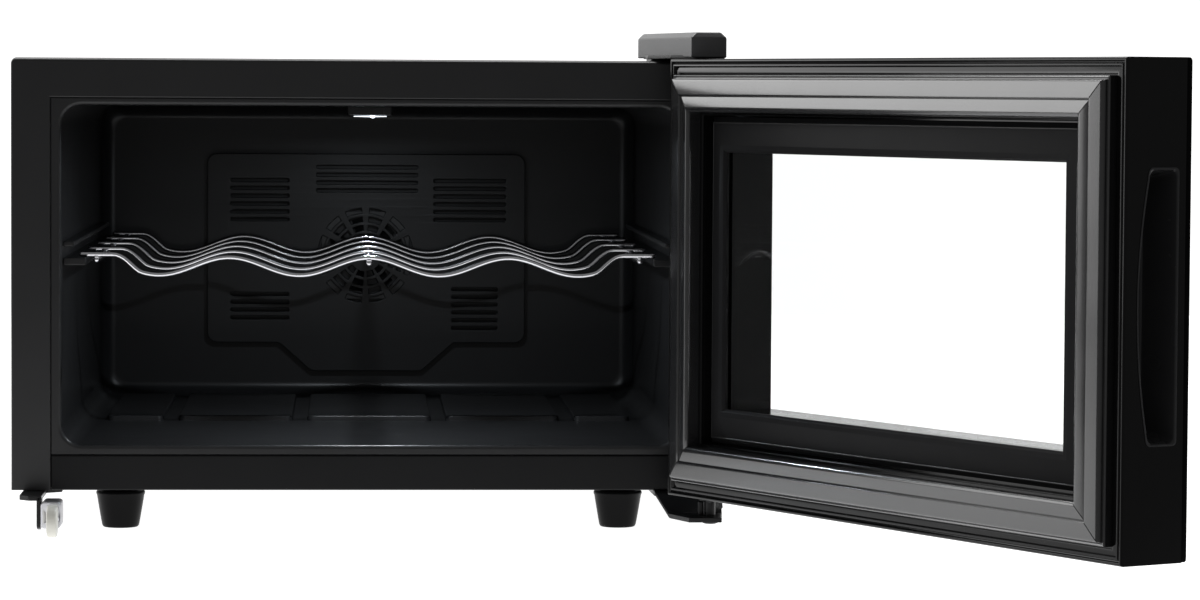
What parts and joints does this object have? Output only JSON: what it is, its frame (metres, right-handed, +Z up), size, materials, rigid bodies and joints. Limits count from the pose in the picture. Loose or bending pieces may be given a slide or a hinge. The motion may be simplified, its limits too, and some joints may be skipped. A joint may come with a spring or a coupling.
{
  "type": "wine cooler",
  "caption": "Wide, low countertop wine cooler with an open glass door, wavy wire bottle shelf, round feet, cooling fan behind a back cover and a key lock.",
  "frame": {"origin": "floor level, in the middle of the whole bounding box with the door standing open", "axes": "+X to the right as seen from the front, +Y from the front to the back, +Z up"},
  "size_m": [0.633, 0.8676, 0.3012],
  "materials": {
    "paint": "satin black powder paint",
    "dark_plastic": "satin, finely textured",
    "gloss_plastic": "polished gloss black",
    "gasket": "smooth satin dark grey vinyl",
    "foam": "matt rigid foam",
    "bare_steel": "bright zinc plate",
    "black_steel": "satin black paint",
    "chrome": "polished",
    "aluminium": "plain extruded",
    "glass": "clear, polished",
    "mask": "black enamel printed behind the glass",
    "board": "green solder mask",
    "ceramic": "matt white",
    "foot_rubber": "satin black",
    "ivory": "soft gloss",
    "lens": "frosted",
    "black_tube": "matt"
  },
  "bodies": {
    "cabinet": {"outer_shell": "paint", "front_bottom_rail": "paint", "bottom_panel": "paint", "rear_panel": "paint", "rear_fan_guard": "dark_plastic", "inner_liner": "dark_plastic", "cabinet_foam": "foam", "evaporator_cover": "dark_plastic", "cold_sink": "aluminium", "cold_block": "aluminium", "peltier_module": "ceramic", "hot_sink": "aluminium", "inner_fan_frame": "dark_plastic", "rear_fan_frame": "dark_plastic", "drain_tube": "black_tube", "drip_tray": "dark_plastic", "power_supply_board": "board", "transformer": "ivory", "supply_capacitor": "black_steel", "power_inlet": "dark_plastic", "lamp_lens": "lens", "lamp_board": "board", "temperature_probe": "bare_steel", "foot_front_left": "foot_rubber", "foot_front_right": "foot_rubber", "foot_rear_left": "foot_rubber", "foot_rear_right": "foot_rubber", "top_hinge_plate": "black_steel", "top_hinge_pin": "bare_steel", "top_hinge_cover": "dark_plastic", "bottom_hinge_bracket": "black_steel", "bottom_hinge_pin": "bare_steel", "lock_bracket": "black_steel", "lock_body": "bare_steel", "rear_screw_1": "bare_steel", "rear_screw_2": "bare_steel", "rear_screw_3": "bare_steel", "rear_screw_4": "bare_steel", "bracket_screw_1": "bare_steel", "bracket_screw_2": "bare_steel"},
    "door": {"door_frame": "gloss_plastic", "door_foam": "foam", "glass_retainer": "dark_plastic", "door_gasket": "gasket", "inner_glass": "glass", "glass_spacer": "dark_plastic", "front_mask": "mask", "outer_glass": "glass", "handle_insert": "gloss_plastic", "control_board": "board", "display_module": "dark_plastic", "bottom_hinge_bush": "ivory", "top_hinge_bush": "ivory", "door_closer": "dark_plastic"},
    "shelf": {"wire_shelf": "chrome"},
    "inner_fan": {"inner_fan_rotor": "dark_plastic"},
    "rear_fan": {"rear_fan_rotor": "dark_plastic"},
    "lock_cylinder": {"lock_barrel": "bare_steel"},
    "lock_slider": {"lock_bolt": "bare_steel"},
    "key": {"lock_key": "ivory"}
  },
  "joints": [
    {"name": "door_hinge", "type": "hinge", "parent": "cabinet", "child": "door", "pos_m": [0.1014, -0.05467, 0.155], "axis": [0, 0, 1], "range_deg": [-118.2, 11.8]},
    {"name": "shelf_slide", "type": "slide", "parent": "cabinet", "child": "shelf", "axis": [0, -1, 0], "range_m": [0, 0.26]},
    {"name": "inner_fan_spin", "type": "hinge", "parent": "cabinet", "child": "inner_fan", "pos_m": [-0.1035, 0.35973, 0.1514], "axis": [0, 1, 0], "continuous": true},
    {"name": "rear_fan_spin", "type": "hinge", "parent": "cabinet", "child": "rear_fan", "pos_m": [-0.1035, 0.41883, 0.1514], "axis": [0, 1, 0], "continuous": true},
    {"name": "lock_turn", "type": "hinge", "parent": "cabinet", "child": "lock_cylinder", "pos_m": [-0.2885, -0.05067, 0.0115], "axis": [0, -1, 0], "range_deg": [0, 90.1]},
    {"name": "bolt_lift", "type": "slide", "parent": "cabinet", "child": "lock_slider", "axis": [0, 0, 1], "range_m": [0, 0.008]},
    {"name": "key_pull", "type": "slide", "parent": "lock_cylinder", "child": "key", "axis": [0, -1, 0], "range_m": [0, 0.03]}
  ],
  "couplings": [
    {"joint": "lock_turn", "follows": "bolt_lift", "rad_per_m": 196.35}
  ]
}
